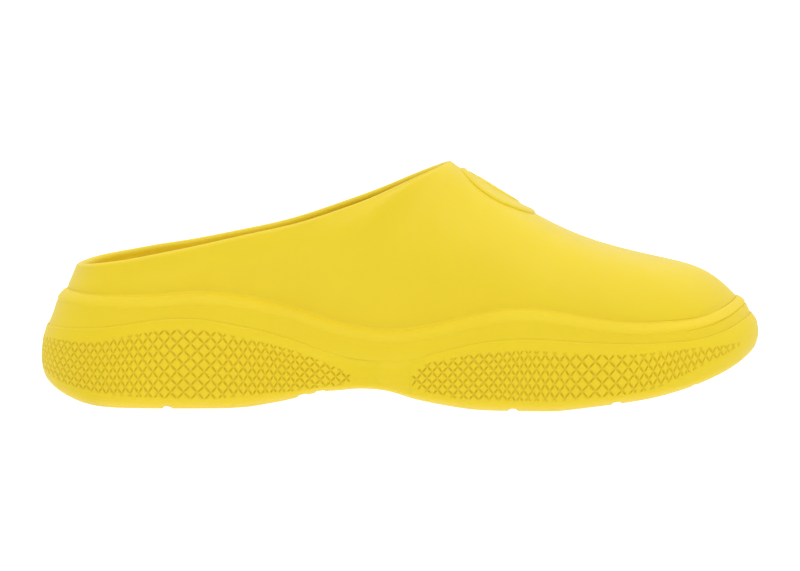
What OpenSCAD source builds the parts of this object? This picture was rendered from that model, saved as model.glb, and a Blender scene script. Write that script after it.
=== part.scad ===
// Rubber garden clog for the right foot, in millimetres.
// +X runs to the toe, +Y to the inner side of the foot and +Z up.
// The origin lies on the ground under the middle of the heel.
//
// A place on the shoe is given by its station and its side. Stations run from 0 at the
// back of the heel to 12 at the toe, and -12 to 0 is the same run along the inner side.

/* [Shoe] */
// Length over the sole, from heel to toe
shoe_length = 290; // [275:1:305]
// Width of the sole across the ball of the foot
ball_width = 114; // [108:1:120]
// Height of the throat, the highest point of the upper
throat_height = 97.5; // [92:0.5:104]
// Wall thickness of the upper
upper_wall = 4; // [3:0.5:5]

/* [Sole] */
// Thickness of the outsoles under the foot
outsole_floor = 5; // [3:0.5:6]
// Thickness of the outsoles where they wrap up the side wall
outsole_side = 2.5; // [1.5:0.5:3]
// Height of the bead that hides the joint between the upper and the sole
bead_height = 5.4; // [4.6:0.1:6]
// Depth of the tread grooves
groove_depth = 0.9; // [0.5:0.1:1.5]
// Width of the tread grooves
groove_width = 3.3; // [2:0.1:4]

/* [Footbed] */
// Thickness of the loose foam footbed
footbed_thickness = 5; // [3:0.5:6]
// Thickness of the knitted cover on the footbed
cover_thickness = 1; // [0.8:0.1:1.5]
// Gap between the footbed and the wall round it
footbed_clearance = 1; // [0.8:0.1:1.5]

/* [Badge] */
// Length of the oval badge, down the slope of the instep
badge_length = 30; // [24:1:34]
// Width of the oval badge, across the instep
badge_width = 40; // [32:1:44]
// Height of the badge over the upper
badge_height = 1.1; // [0.8:0.1:1.6]

/* [Quality] */
// Steps round each side of the shoe, between two stations
steps_per_station = 3; // [2:1:5]
// Steps up the side of the upper
steps_up = 7; // [5:1:10]

/* [Hidden] */

yellow = [0.93, 0.82, 0.22];
glue_gap = 0.2;
stations = 12;
throat_station = 6;
heel_to_origin = 55;
pattern_length = 290;
pattern_throat = 97.5;
grade = shoe_length / pattern_length;
steps = stations * steps_per_station;

// The handles of the plan outline, drawn for a shoe of the pattern length.
outer_handles = [
    [0, 0], [5, -22], [19, -37.5], [45, -45], [80, -43], [118, -42], [155, -46],
    [190, -55], [222, -57], [252, -50], [275, -34], [287, -13], [290, 5]
];
inner_handles = [
    [5, 21.5], [19, 37], [45, 43], [80, 38], [120, 37], [155, 46], [188, 54.5],
    [220, 56], [250, 51], [272, 40], [286, 23]
];

// The lines of the profile, as [distance from the heel, height] on the pattern.
ground_line = [
    [0, 7.4], [10, 3.1], [18, 1.2], [25, 0.2], [32, 0], [72, 0], [86, 0.8], [97, 2.7],
    [109, 5.7], [120, 7.2], [129, 8], [137, 7.6], [149, 4.5], [155, 3.1], [165, 1.4],
    [175, 0.2], [183, 0], [205, 0], [222, 1.8], [234, 3.2], [245, 4.8], [257, 7.4],
    [268, 10.5], [279, 14.6], [290, 20.3]
];
outsole_line = [
    [0, 31], [20, 31.7], [58, 36.5], [89, 31.6], [105, 26.8], [117, 22.6], [129, 20.3],
    [140, 19.6], [149, 20.2], [157, 22.4], [176, 27.3], [195, 29.2], [240, 27], [262, 27.6],
    [276, 30.6], [290, 36.8]
];
bead_line = [
    [0, 42.5], [24, 40.7], [44, 40.8], [64, 42.4], [84, 40.6], [94, 38.4], [105, 35.4],
    [124, 29], [142, 27], [154, 28.6], [166, 31.4], [186, 36.1], [196, 36.5], [220, 33.2],
    [240, 31.2], [260, 32.3], [274, 35.2], [284, 40.4], [290, 43.5]
];
collar_line = [
    [14.5, 56.5], [34, 59.2], [64, 65.3], [104, 74.5], [133.5, 84.4], [151, 92], [165.5, 97.5]
];
vamp_line = [
    [165.5, 97.5], [170.7, 93.6], [176, 90.5], [188, 82.6], [211, 69.6], [234, 61.4],
    [251, 57.1], [262, 53.8], [290, 40]
];
floor_line = [[15, 25], [70, 24], [120, 20.5], [170, 16], [215, 14.5], [245, 15.5], [280, 22]];

// How much lower the collar is along the inner side, as [distance from the heel, drop].
collar_drop_line = [[24, 0], [58, 0.9], [90, 1.9], [114, 1.2], [145, 0.9], [165.5, 0]];

// The bead's height as a share of its full height: it slims at the heel and at the toe.
bead_share_line = [
    [0, 0.83], [14, 0.87], [34, 1], [180, 1], [230, 0.93], [255, 0.8], [266, 0.7], [280, 0.78],
    [290, 0.83]
];

// How far inside the outline the parts of the wall lie, as [distance from the heel, inset].
top_inset_line = [
    [0, 2.2], [108, 2.2], [130, 1.4], [152, 1.4], [168, 2.2], [262, 2.2], [278, 2.5], [290, 2.7]
];
bead_inset_line = [[0, 6.7], [8, 5.8], [30, 3], [260, 3], [276, 3.8], [290, 5.6]];
upper_inset_line = [[0, 10.7], [30, 8], [260, 8], [276, 8.5], [290, 9.3]];
cavity_inset_line = [[0, 21.5], [40, 13], [250, 13], [290, 14.5]];
collar_inset_line = [[0, 14], [40, 8.5], [290, 8.5]];

// Depth of the outsoles as a share of their full depth: they feather out at the waist.
outsole_share_line = [[95, 1], [128, 0.25], [137, 0.12], [146, 0.12], [152, 0.25], [172, 1]];
// How far the outsoles stand proud of the midsole over them, as [distance, millimetres].
proud_line = [[108, 0.5], [129, 0], [149, 0], [155, 0.5]];
heel_outsole_end = 5.5;
forefoot_outsole_start = 5.84;

// How far the wall of the upper leans in, in degrees, as [station, lean].
foot_lean_line = [[0, 19], [2.4, 4], [6, 4], [9, 14], [10.8, 32], [12, 44]];
rim_lean_line = [[0, 20], [2.4, 0], [3.8, 8], [4.8, 24], [5.5, 42], [6, 58]];
cavity_lean_line = [[0, 0], [6.4, 0], [9, 10], [12, 46]];
// How far the wall follows its lean before it bends over to its edge, as [station, share].
foot_pull_line = [[0, 0.36], [9, 0.36], [12, 0.48]];

collar_middle = 91.3;
collar_reach = 74.2;
collar_half_width = 35.5;
collar_roundness = 2.1;
spine_start = 165.5;
spine_run = 80.5;
toe_shift = 5;
edge_pull = 0.42;
rim_crown = 1.2;

badge_middle = 184.5;
groove_pitch = 14;

// ---------------------------------------------------------------- curves

function smooth(t) = let (u = min(max(t, 0), 1)) u * u * (3 - 2 * u);

function unit(v) = v / norm(v);

function secant(line, k) = (line[k + 1].y - line[k].y) / (line[k + 1].x - line[k].x);

// The slope of a profile line at one of its points: level at every crest and dip.
function slope_at(line, k) =
    k == 0 ? secant(line, 0) :
    k == len(line) - 1 ? secant(line, k - 1) :
    let (before = secant(line, k - 1), after = secant(line, k))
    before * after <= 0 ? 0 : 2 * before * after / (before + after);

// The value of a profile line at x, on a cubic that never overshoots its points.
function value_on(line, x) =
    let (
        last = len(line) - 2,
        k = max(concat([0], [for (j = [0:last]) if (line[j].x <= x) j])),
        span = line[k + 1].x - line[k].x,
        t = min(max((x - line[k].x) / span, 0), 1),
        rise = line[k + 1].y - line[k].y,
        bend = t * (1 - t)
    )
    line[k].y + rise * smooth(t)
    + bend * span * ((1 - t) * slope_at(line, k) - t * slope_at(line, k + 1));

// The height of a profile line at x, on this shoe's length.
function height_at(line, x) = value_on(line, x / grade);

handles = concat(outer_handles, [for (k = [len(inner_handles) - 1:-1:0]) inner_handles[k]]);

// A point of the closed cubic B-spline that the handles pull into shape.
function spline_point(p) =
    let (
        n = len(handles),
        k = floor(p),
        t = p - k,
        a = handles[(k - 1 + 2 * n) % n],
        b = handles[(k + 2 * n) % n],
        c = handles[(k + 1 + 2 * n) % n],
        d = handles[(k + 2 + 2 * n) % n]
    )
    (pow(1 - t, 3) * a + (3 * t * t * t - 6 * t * t + 4) * b
        + (1 + 3 * t + 3 * t * t - 3 * t * t * t) * c + t * t * t * d) / 6;

drawn = [for (p = [-stations:1 / 8:stations]) spline_point(p)];
drawn_low = [min([for (d = drawn) d.x]), min([for (d = drawn) d.y])];
drawn_high = [max([for (d = drawn) d.x]), max([for (d = drawn) d.y])];
outline_scale = [
    shoe_length / (drawn_high.x - drawn_low.x),
    ball_width / (drawn_high.y - drawn_low.y)
];

// A point of the sole's outline, and the direction from it into the shoe.
function outline(p) =
    let (d = spline_point(p))
    [(d.x - drawn_low.x) * outline_scale.x, d.y * outline_scale.y];
function inward(p) =
    let (step = unit(outline(p + 0.01) - outline(p - 0.01)))
    [-step.y, step.x];

// A point at a given distance inside the outline.
function inside(p, inset) = outline(p) + inset * inward(p);
function inside_by(p, inset_line) = inside(p, height_at(inset_line, outline(p).x));

// ---------------------------------------------------------------- rings of the sole

function lift(point, height) = [point.x, point.y, height];

function wall_height(x) = height_at(outsole_line, x) - height_at(ground_line, x);

// The wall of the outsoles: rows as [inset, share of the top edge's inset, share of the
// wall's height, share of the floor's thickness by which the inner face stands higher].
wall_rows = [
    [10.6, 0, 0, 1], [4.4, 0, 0.065, 0.8], [1.3, 0, 0.165, 0.5], [0, 0, 0.45, 0],
    [0.25, 0, 0.75, 0], [0, 1, 1, 0]
];

function outsole_share(x) = height_at(outsole_share_line, x);

// A point of a wall row. depth is 0 on the outer face and 1 on the inner face, and gap
// stands off the inner face by the glue line.
function wall_point(p, row, depth, gap = 0) =
    let (
        near = outline(p).x,
        share = outsole_share(near) * depth,
        fade = min(1, 8 * outsole_share(near)),
        inset = row[0] + row[1] * height_at(top_inset_line, near),
        point = inside(p, inset + share * outsole_side + gap * fade),
        x = point.x
    )
    lift(
        point,
        height_at(ground_line, x) + wall_height(x) * row[2]
        + row[3] * (share * outsole_floor + gap * fade)
    );

// The height at a share of the bead's own height.
function bead_over(x, share) =
    height_at(bead_line, x) + share * bead_height * height_at(bead_share_line, x);

// ---------------------------------------------------------------- the upper

// The edge of the upper: the collar as far as the throat, then the spine of the vamp.
function collar_turn(q) = let (w = q / throat_station) 180 * w * (0.4 + 0.6 * w);
function blunt(value) = sign(value) * pow(abs(value), 2 / collar_roundness);
function throat_curve(q, side, inset) =
    [
        (collar_middle - (collar_reach - inset) * blunt(cos(collar_turn(q)))) * grade,
        side * (collar_half_width - inset) * blunt(sin(collar_turn(q)))
    ];
function collar_point(q, side, inset) =
    let (
        heel = inside(q * -side, height_at(collar_inset_line, outline(q).x) + inset),
        share = smooth((q - 2.2) / 1.8)
    )
    heel * (1 - share) + throat_curve(q, side, inset) * share;

function spine_share(q) = (q - throat_station) / (stations - throat_station);
function spine_x(q) = (spine_start + spine_run * sin(90 * spine_share(q))) * grade;
function spine_height(x) =
    let (z = height_at(vamp_line, x))
    z + (throat_height - pattern_throat) * smooth((z - 58) / (pattern_throat - 58));
function spine_slope(x) = spine_height(x + 0.5) - spine_height(x - 0.5);
function collar_height(x, side) =
    let (z = height_at(collar_line, x), drop = side > 0 ? height_at(collar_drop_line, x) : 0)
    z - drop + (throat_height - pattern_throat) * smooth((z - 58) / (pattern_throat - 58));

// The level direction of the rim towards the throat, and the direction out of the opening.
function rim_heading(q, side) =
    let (
        a = collar_point(max(q - 0.05, 0), side, 0),
        b = collar_point(min(q + 0.05, throat_station), side, 0)
    )
    q <= 0.01 ? [0, side] : q >= throat_station - 0.01 ? [0, -side] : unit(b - a);
function out_of_collar(q, side) =
    let (run = rim_heading(q, side))
    side * [-run.y, run.x];

// The edge of the outer face, the same edge one wall further in, and the way the edge
// faces, for station q on a side (-1 outer, 1 inner).
function edge_at(q, side, depth) =
    q <= throat_station ?
    let (
        lean = value_on(rim_lean_line, q),
        out = out_of_collar(q, side),
        point = collar_point(q, side, 0),
        up = collar_height(point.x, side) - rim_crown * cos(lean)
    )
    [
        point.x - out.x * cos(lean) * depth,
        point.y - out.y * cos(lean) * depth,
        up - sin(lean) * depth
    ] :
    let (x = spine_x(q), fall = atan(spine_slope(x)), from_throat = smooth(4 * spine_share(q)))
    [
        x + sin(fall) * depth,
        toe_shift * spine_share(q),
        spine_height(x) - cos(fall) * depth - rim_crown * 0.5 * (1 - from_throat)
    ];
function rim_direction(q, side) =
    let (lean = value_on(rim_lean_line, q), out = out_of_collar(q, side))
    [-out.x * sin(lean), -out.y * sin(lean), cos(lean)];
function rim_run(q, side) =
    let (run = rim_heading(q, side))
    [run.x, run.y, 0];

// The direction in which a profile of the upper runs into its edge: square to the rim along
// the sides, turning to run along the rim at the throat and across the spine beyond it.
function into_edge(q, side) =
    q <= throat_station ?
    let (turn = 90 * smooth((q - 3.2) / 2.8))
    unit(cos(turn) * rim_direction(q, side) + sin(turn) * rim_run(q, side)) :
    let (turn = 90 * pow(spine_share(q), 4.5), x = spine_x(q))
    unit([-sin(turn), -side * cos(turn), -spine_slope(x) * sin(turn)]);

// The profile of the upper at a station, as the four points of a Bezier curve from its
// foot on the sole to its edge. depth is 0 on the outer face and 1 on the inner face.
function profile(q, side, depth) =
    let (
        p = q * -side,
        foot_plan = inside_by(p, depth == 0 ? upper_inset_line : cavity_inset_line),
        foot = lift(foot_plan, bead_over(foot_plan.x, 1) + glue_gap),
        lean = value_on(depth == 0 ? foot_lean_line : cavity_lean_line, q),
        in = inward(p),
        edge = edge_at(q, side, depth * upper_wall),
        reach = norm(edge - foot),
        up = [in.x * sin(lean), in.y * sin(lean), cos(lean)]
    )
    [
        foot,
        foot + value_on(foot_pull_line, q) * reach * up,
        edge - edge_pull * reach * into_edge(q, side),
        edge
    ];

function on_profile(c, t) =
    pow(1 - t, 3) * c[0] + 3 * t * pow(1 - t, 2) * c[1] + 3 * t * t * (1 - t) * c[2] + pow(t, 3) * c[3];

// ---------------------------------------------------------------- solids

// Two triangles for a quad. turned faces them the other way without moving their diagonal, so
// that two faces with the same corners lie flat on each other.
function quad(a, b, c, d, turned = false) =
    turned ? [[c, b, a], [d, c, a]] : [[a, b, c], [a, c, d]];

// Faces between two rows of n points, closed into rings or left open. turned faces inwards.
function strip(low, high, n, closed, turned = false) =
    [
        for (i = [0:n - (closed ? 1 : 2)])
        let (j = (i + 1) % n)
        each quad(low + i, high + i, high + j, low + j, turned)
    ];

// Faces that close a row off with rungs straight across the shoe. first is 0 for an open
// row, whose ends make a rung, and 1 for a ring.
function rungs(low, n, ring, turned = false) =
    let (last = ring ? n : n - 1)
    [
        for (k = [0:last / 2 - 1])
        let (a = low + k, b = low + k + 1, c = low + last - k - 1, d = low + (last - k) % n)
        each (a == d || b == c)
            ? [turned ? (a == d ? [c, b, a] : [d, b, a]) : (a == d ? [a, b, c] : [a, b, d])]
            : quad(a, b, c, d, turned)
    ];

// A solid from a stack of rings, with the first and the last closed off by rungs.
module ring_solid(rings) {
    n = len(rings[0]);
    top = n * (len(rings) - 1);
    walls = [for (r = [0:len(rings) - 2]) each strip(r * n, (r + 1) * n, n, true)];
    polyhedron(
        points = [for (ring = rings) each ring],
        faces = concat(walls, rungs(0, n, true), rungs(top, n, true, true))
    );
}

// A tray from the rows of its outer and its inner face, lowest row first.
module tray(outer, inner) {
    n = len(outer[0]);
    rows = len(outer);
    skin = n * rows;
    grid = [for (r = [0:rows - 2]) each strip(r * n, (r + 1) * n, n, false)];
    lining = [for (r = [0:rows - 2]) each strip(skin + r * n, skin + (r + 1) * n, n, false, true)];
    rim = strip(2 * skin - n, skin - n, n, false, true);
    ends = [
        for (r = [0:rows - 2])
        let (a = r * n, b = a + n, c = a + n - 1, d = b + n - 1)
        each concat(quad(b, a, skin + a, skin + b), quad(c, d, skin + d, skin + c))
    ];
    polyhedron(
        points = concat([for (row = outer) each row], [for (row = inner) each row]),
        faces = concat(
            grid, lining, rim, ends, rungs(0, n, false), rungs(skin, n, false, true),
            quad(0, n - 1, skin + n - 1, skin)
        )
    );
}

// Stations round the shoe, with one at each end of the two outsoles.
even_places = [for (i = [0:steps]) i / steps_per_station];
side_places = concat(
    [for (p = even_places) if (p < heel_outsole_end - 0.1) p],
    [heel_outsole_end, forefoot_outsole_start],
    [for (p = even_places) if (p > forefoot_outsole_start + 0.1) p]
);
all_places = concat(
    side_places,
    [for (k = [len(side_places) - 2:-1:1]) 2 * stations - side_places[k]]
);
heel_places = concat(
    [for (p = all_places) if (p >= 2 * stations - heel_outsole_end) p - 2 * stations],
    [for (p = all_places) if (p <= heel_outsole_end) p]
);
forefoot_end = 2 * stations - forefoot_outsole_start;
forefoot_places =
    [for (p = all_places) if (p >= forefoot_outsole_start && p <= forefoot_end) p];

module from_heel() {
    translate([-heel_to_origin, 0, 0]) children();
}

// ---------------------------------------------------------------- sub-parts

module upper() {
    toe = len(side_places) - 1;
    n = 2 * toe;
    rows = steps_up + 1;
    skin = n * rows;
    crown_row = 2 * skin;
    throat = len([for (q = side_places) if (q < throat_station) q]);
    sides = [for (i = [0:n - 1]) i <= toe ? [side_places[i], -1] : [side_places[n - i], 1]];
    outer = [for (s = sides) profile(s[0], s[1], 0)];
    inner = [for (s = sides) profile(s[0], s[1], 1)];
    crown = [
        for (i = [0:n - 1])
        let (q = min(sides[i][0], throat_station), side = sides[i][1])
        (edge_at(q, side, 0) + edge_at(q, side, upper_wall)) / 2
        + rim_crown * rim_direction(q, side)
    ];
    points = concat(
        [for (t = [0:steps_up]) each [for (c = outer) on_profile(c, t / steps_up)]],
        [for (t = [0:steps_up]) each [for (c = inner) on_profile(c, t / steps_up)]],
        crown
    );
    rim = [
        for (k = [-throat:throat - 1])
        let (i = (k + n) % n, j = (k + 1 + n) % n, o = skin - n, c = crown_row, e = 2 * skin - n)
        each concat(quad(o + i, c + i, c + j, o + j), quad(c + i, e + i, e + j, c + j))
    ];
    color(yellow) from_heel() polyhedron(
        points = points,
        faces = concat(
            [for (r = [0:steps_up - 1]) each strip(r * n, (r + 1) * n, n, true)],
            [for (r = [0:steps_up - 1]) each strip(skin + r * n, skin + (r + 1) * n, n, true, true)],
            strip(skin, 0, n, true),
            rim
        )
    );
}

// A ring of the midsole's band, from the outsoles (share 0) up to the bead (share 1).
function band_ring(share, hollow) =
    [
        for (p = all_places)
        let (
            x = outline(p).x,
            low = height_at(top_inset_line, x) + height_at(proud_line, x),
            point = inside(p, (1 - share) * low + share * height_at(bead_inset_line, x) + hollow),
            top = height_at(bead_line, point.x)
        )
        lift(point, (1 - share) * (height_at(outsole_line, point.x) + glue_gap) + share * top)
    ];

// A ring over the bead, at a share of the way in to the upper and of the bead's height.
function bead_ring(way_in, share) =
    [
        for (p = all_places)
        let (
            x = outline(p).x,
            out = height_at(bead_inset_line, x),
            point = inside(p, out + way_in * (height_at(upper_inset_line, x) - out))
        )
        lift(point, bead_over(point.x, share))
    ];

module midsole() {
    wall = [for (row = wall_rows) [for (p = all_places) wall_point(p, row, 1, glue_gap)]];
    brink = [
        for (p = all_places)
        let (point = inside_by(p, cavity_inset_line))
        lift(point, bead_over(point.x, 1))
    ];
    well = [for (point = brink) lift(point, height_at(floor_line, point.x))];
    color(yellow) from_heel() ring_solid(concat(wall, [
        band_ring(0, 0), band_ring(0.5, 0.3), band_ring(1, 0),
        bead_ring(0.15, 0.36), bead_ring(0.5, 0.66), bead_ring(1, 1),
        brink, well
    ]));
}

module outsole(places) {
    tray(
        [for (row = wall_rows) [for (p = places) wall_point(p, row, 0)]],
        [for (row = wall_rows) [for (p = places) wall_point(p, row, 1)]]
    );
}

// Straight grooves across the sole, centred on the places given from the heel.
module grooves(centres) {
    for (x = centres)
        translate([x * grade - groove_width / 2, -ball_width, -1])
            cube([groove_width, 2 * ball_width, 1 + groove_depth]);
}

module heel_outsole() {
    color(yellow) from_heel() difference() {
        outsole(heel_places);
        grooves([37.9:groove_pitch:80]);
    }
}

module forefoot_outsole() {
    color(yellow) from_heel() difference() {
        outsole(forefoot_places);
        grooves([189.8:groove_pitch:204]);
    }
}

// A ring of the footbed, a distance inside its edge and a height over the floor of the shoe.
function footbed_ring(inset, height) =
    [
        for (p = all_places)
        let (
            reach = height_at(cavity_inset_line, outline(p).x) + footbed_clearance + inset,
            point = inside(p, reach)
        )
        lift(point, height_at(floor_line, point.x) + glue_gap + height)
    ];

module footbed() {
    color([0.9, 0.78, 0.2]) from_heel() ring_solid([
        footbed_ring(0.6, 0),
        footbed_ring(0, 0.8),
        footbed_ring(0, footbed_thickness + 0.8),
        footbed_ring(8, footbed_thickness)
    ]);
}

module footbed_cover() {
    low = footbed_thickness + glue_gap;
    color([0.85, 0.74, 0.24]) from_heel() ring_solid([
        footbed_ring(8, low),
        footbed_ring(0, low + 0.8),
        footbed_ring(0, low + 0.4 + cover_thickness),
        footbed_ring(1, low + 0.75 + cover_thickness),
        footbed_ring(8, low + cover_thickness)
    ]);
}

// A point over the instep: along the spine, across it, and off the surface of the upper.
function instep_point(x, across, off) =
    let (
        q = throat_station + (stations - throat_station)
            * asin((x - spine_start) / spine_run) / 90,
        side = across > 0 ? 1 : -1,
        here = profile(q, side, 0),
        pull = 3 * edge_pull * norm(here[3] - here[0]),
        t = 1 - abs(across) / pull,
        along = on_profile(profile(q + 0.02, side, 0), t) - on_profile(profile(q - 0.02, side, 0), t),
        over = side * (on_profile(here, t - 0.01) - on_profile(here, t + 0.01))
    )
    on_profile(here, t) + off * unit(cross(along, over));

function badge_ring(share, off) =
    [
        for (k = [0:23])
        let (a = 180 + 15 * k)
        instep_point(
            badge_middle + share * badge_length / 2 * cos(a),
            share * badge_width / 2 * sin(a),
            off
        )
    ];

module vamp_badge() {
    color(yellow) from_heel() ring_solid([
        badge_ring(0.1, glue_gap),
        badge_ring(0.3, glue_gap),
        badge_ring(0.5, glue_gap),
        badge_ring(0.7, glue_gap),
        badge_ring(0.85, glue_gap),
        badge_ring(1, glue_gap),
        badge_ring(0.98, badge_height * 0.7),
        badge_ring(0.9, badge_height),
        badge_ring(0.6, badge_height),
        badge_ring(0.3, badge_height),
        badge_ring(0.1, badge_height)
    ]);
}

upper();
midsole();
heel_outsole();
forefoot_outsole();
footbed();
footbed_cover();
vamp_badge();
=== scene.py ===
"""The looks of a rubber garden clog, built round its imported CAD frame.

The shape is worked out in millimetres with x measured from the back of the heel, and goes
into the frame's metres when a mesh is made. A place round the shoe is a station p: 0 is the
back of the heel, 12 the toe, positive on the outer side of the foot and negative on the
inner side.
"""

import math

import bpy
import numpy as np
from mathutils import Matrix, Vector


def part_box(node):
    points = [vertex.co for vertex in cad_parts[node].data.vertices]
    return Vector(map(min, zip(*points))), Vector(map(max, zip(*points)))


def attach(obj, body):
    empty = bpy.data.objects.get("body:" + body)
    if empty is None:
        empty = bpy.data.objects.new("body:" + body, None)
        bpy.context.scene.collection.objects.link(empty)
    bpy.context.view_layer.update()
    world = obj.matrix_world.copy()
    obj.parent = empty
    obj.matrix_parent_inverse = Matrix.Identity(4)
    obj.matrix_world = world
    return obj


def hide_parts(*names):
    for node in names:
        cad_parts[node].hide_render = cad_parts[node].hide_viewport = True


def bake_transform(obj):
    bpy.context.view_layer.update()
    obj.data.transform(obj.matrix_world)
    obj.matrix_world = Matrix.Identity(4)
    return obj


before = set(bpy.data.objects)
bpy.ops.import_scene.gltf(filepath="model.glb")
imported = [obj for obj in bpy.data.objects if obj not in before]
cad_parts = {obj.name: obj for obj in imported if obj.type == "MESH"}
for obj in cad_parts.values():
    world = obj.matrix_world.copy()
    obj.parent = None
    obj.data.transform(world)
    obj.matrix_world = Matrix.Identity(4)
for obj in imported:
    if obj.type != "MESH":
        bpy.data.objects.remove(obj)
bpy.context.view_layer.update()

# ------------------------------------------------------------------ sizes, from the frame

MM = 0.001
HEEL_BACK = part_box("heel_outsole")[0].x / MM
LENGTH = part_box("forefoot_outsole")[1].x / MM - HEEL_BACK
WIDTH = (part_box("forefoot_outsole")[1].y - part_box("forefoot_outsole")[0].y) / MM
THROAT_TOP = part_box("upper")[1].z / MM + 0.64

PATTERN_LENGTH = 290.0
PATTERN_THROAT = 97.5
GRADE = LENGTH / PATTERN_LENGTH
STATIONS = 12
THROAT = 6.0
WALL = 4.0
OUTSOLE_FLOOR = 5.0
OUTSOLE_SIDE = 2.5
FOOTBED = 5.0
GLUE = 0.2

OUTER_HANDLES = [
    (0, 0), (5, -22), (19, -37.5), (45, -45), (80, -43), (118, -42), (155, -46),
    (190, -55), (222, -57), (252, -50), (275, -34), (287, -13), (290, 5),
]
INNER_HANDLES = [
    (5, 21.5), (19, 37), (45, 43), (80, 38), (120, 37), (155, 46), (188, 54.5),
    (220, 56), (250, 51), (272, 40), (286, 23),
]

# ------------------------------------------------------------------ curves


def smooth(t):
    t = np.clip(t, 0, 1)
    return t * t * (3 - 2 * t)


def unit(v):
    return v / np.linalg.norm(v, axis=-1, keepdims=True)


def monotone(x, y, at):
    """A cubic through the points that is level at every crest and dip."""
    secants = np.diff(y) / np.diff(x)
    slopes = np.concatenate([secants[:1], np.zeros(len(x) - 2), secants[-1:]])
    for k in range(1, len(x) - 1):
        before, after = secants[k - 1], secants[k]
        if before * after > 0:
            slopes[k] = 2 * before * after / (before + after)
    k = np.clip(np.searchsorted(x, at, side="right") - 1, 0, len(x) - 2)
    span = x[k + 1] - x[k]
    t = np.clip((at - x[k]) / span, 0, 1)
    bend = t * (1 - t) * span * ((1 - t) * slopes[k] - t * slopes[k + 1])
    return y[k] + (y[k + 1] - y[k]) * smooth(t) + bend


class Line:
    """A profile line through a few points, softened so that light runs over it without breaks."""

    def __init__(self, points, blur=4.0):
        x, y = np.array(points, float).T
        pitch = blur / 8
        self.at = np.arange(x[0], x[-1] + pitch / 2, pitch)
        value = monotone(x, y, self.at)
        pad = 24
        before = value[0] - (value[1] - value[0]) * np.arange(pad, 0, -1)
        after = value[-1] + (value[-1] - value[-2]) * np.arange(1, pad + 1)
        kernel = np.exp(-0.5 * (np.arange(-pad, pad + 1) / 8) ** 2)
        padded = np.concatenate([before, value, after])
        self.value = np.convolve(padded, kernel / kernel.sum(), mode="valid")

    def __call__(self, x):
        return np.interp(x, self.at, self.value)


def height_line(points, blur=4.0):
    line = Line(points, blur)
    return lambda x: line(np.asarray(x) / GRADE)


ground = height_line([
    (0, 7.4), (10, 3.1), (18, 1.2), (25, 0.2), (32, 0), (72, 0), (80, 0.3), (86, 0.8), (92, 1.9),
    (97, 2.7), (104, 4.4), (109, 5.7), (114, 6.8), (120, 7.15), (129, 8), (137, 7.6), (143, 6.4),
    (149, 4.45), (155, 3.1), (165, 1.4), (175, 0.2), (183, 0), (205, 0), (211, 0.5), (222, 1.8),
    (234, 3.2), (245, 4.75), (257, 7.35), (268, 10.5), (279, 14.6), (290, 20.3),
], 2.0)
outsole_top = height_line([
    (0, 31), (20, 31.7), (58, 36.5), (89, 31.6), (105, 26.8), (117, 22.6), (129, 20.3),
    (140, 19.6), (149, 20.2), (157, 22.4), (166, 24.6), (176, 27.3), (195, 29.2), (212, 28.2),
    (240, 27), (262, 27.6), (276, 30.6), (282, 33), (290, 36.8),
])
bead = height_line([
    (0, 42.5), (7, 42.3), (24, 40.7), (44, 40.8), (64, 42.4), (84, 40.6), (94, 38.4),
    (105, 35.4), (124, 29), (142, 27), (154, 28.6), (166, 31.4), (186, 36.1), (196, 36.5),
    (210, 35), (220, 33.2), (240, 31.2), (260, 32.3), (274, 35.2), (284.4, 40.4), (290, 43.5),
])
bead_round = height_line([(0, 1.25), (30, 1.5), (250, 1.5), (280, 1.2), (290, 1.15)])
bead_height = height_line([
    (0, 4.5), (14, 4.7), (34, 5.4), (180, 5.4), (230, 5), (255, 4.3), (266, 3.8), (280, 4.2),
    (290, 4.5),
])
collar_pattern = height_line([
    (14.5, 56.5), (24, 57.8), (34, 59.2), (44, 61.1), (64, 65.3), (84, 70), (104, 74.5),
    (117, 78.6), (133.5, 84.4), (151, 92), (165.5, 97.5),
])
collar_dip = height_line([
    (24, 0), (44, 0.1), (58, 0.9), (75, 1.5), (90, 1.95), (103, 1.55), (114, 1.2), (131, 0.85),
    (145, 0.9), (154, 0.6), (165.5, 0),
])
vamp_pattern = height_line([
    (165.5, 97.5), (170.7, 93.6), (176, 90.5), (188, 82.6), (199.6, 75.6), (211, 69.6),
    (222, 65), (234, 61.35), (251, 57.1), (262, 53.75), (290, 40),
])
floor_height = height_line(
    [(15, 25), (70, 24), (120, 20.5), (170, 16), (215, 14.5), (245, 15.5), (280, 22)]
)
top_inset = height_line([
    (0, 2.2), (108, 2.2), (130, 1.4), (152, 1.4), (168, 2.2), (262, 2.2), (278, 2.5), (290, 2.7),
])
bead_inset = height_line([(0, 6.7), (8, 5.8), (30, 3), (260, 3), (276, 3.8), (290, 5.6)])
upper_inset = height_line([(0, 10.7), (30, 8), (260, 8), (276, 8.5), (290, 9.3)])
cavity_inset = height_line([(0, 21.5), (40, 13), (250, 13), (290, 14.5)])
collar_inset = height_line([(0, 14), (40, 8.5), (290, 8.5)])
outsole_share = height_line(
    [(95, 1), (128, 0.25), (137, 0.12), (146, 0.12), (152, 0.25), (172, 1)], 1.5
)
proud = height_line([(108, 1), (129, 0), (149, 0), (155, 1)], 1.5)
toe_crease = height_line([(252, 0), (274, 1), (290, 1)])
foot_lean = Line([(0, 19), (2.4, 4), (6, 4), (9, 14), (10.8, 32), (12, 44)], 0.35)
foot_pull = Line([(0, 0.36), (9, 0.36), (12, 0.48)], 0.35)
rim_crown = Line([(0, 2), (4, 2), (6, 1.2)], 0.35)
rim_lean = Line([(0, 20), (2.4, 0), (3.8, 8), (4.8, 24), (5.5, 42), (6, 58)], 0.35)
cavity_lean = Line([(0, 0), (6.4, 0), (9, 10), (12, 46)], 0.35)


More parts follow.
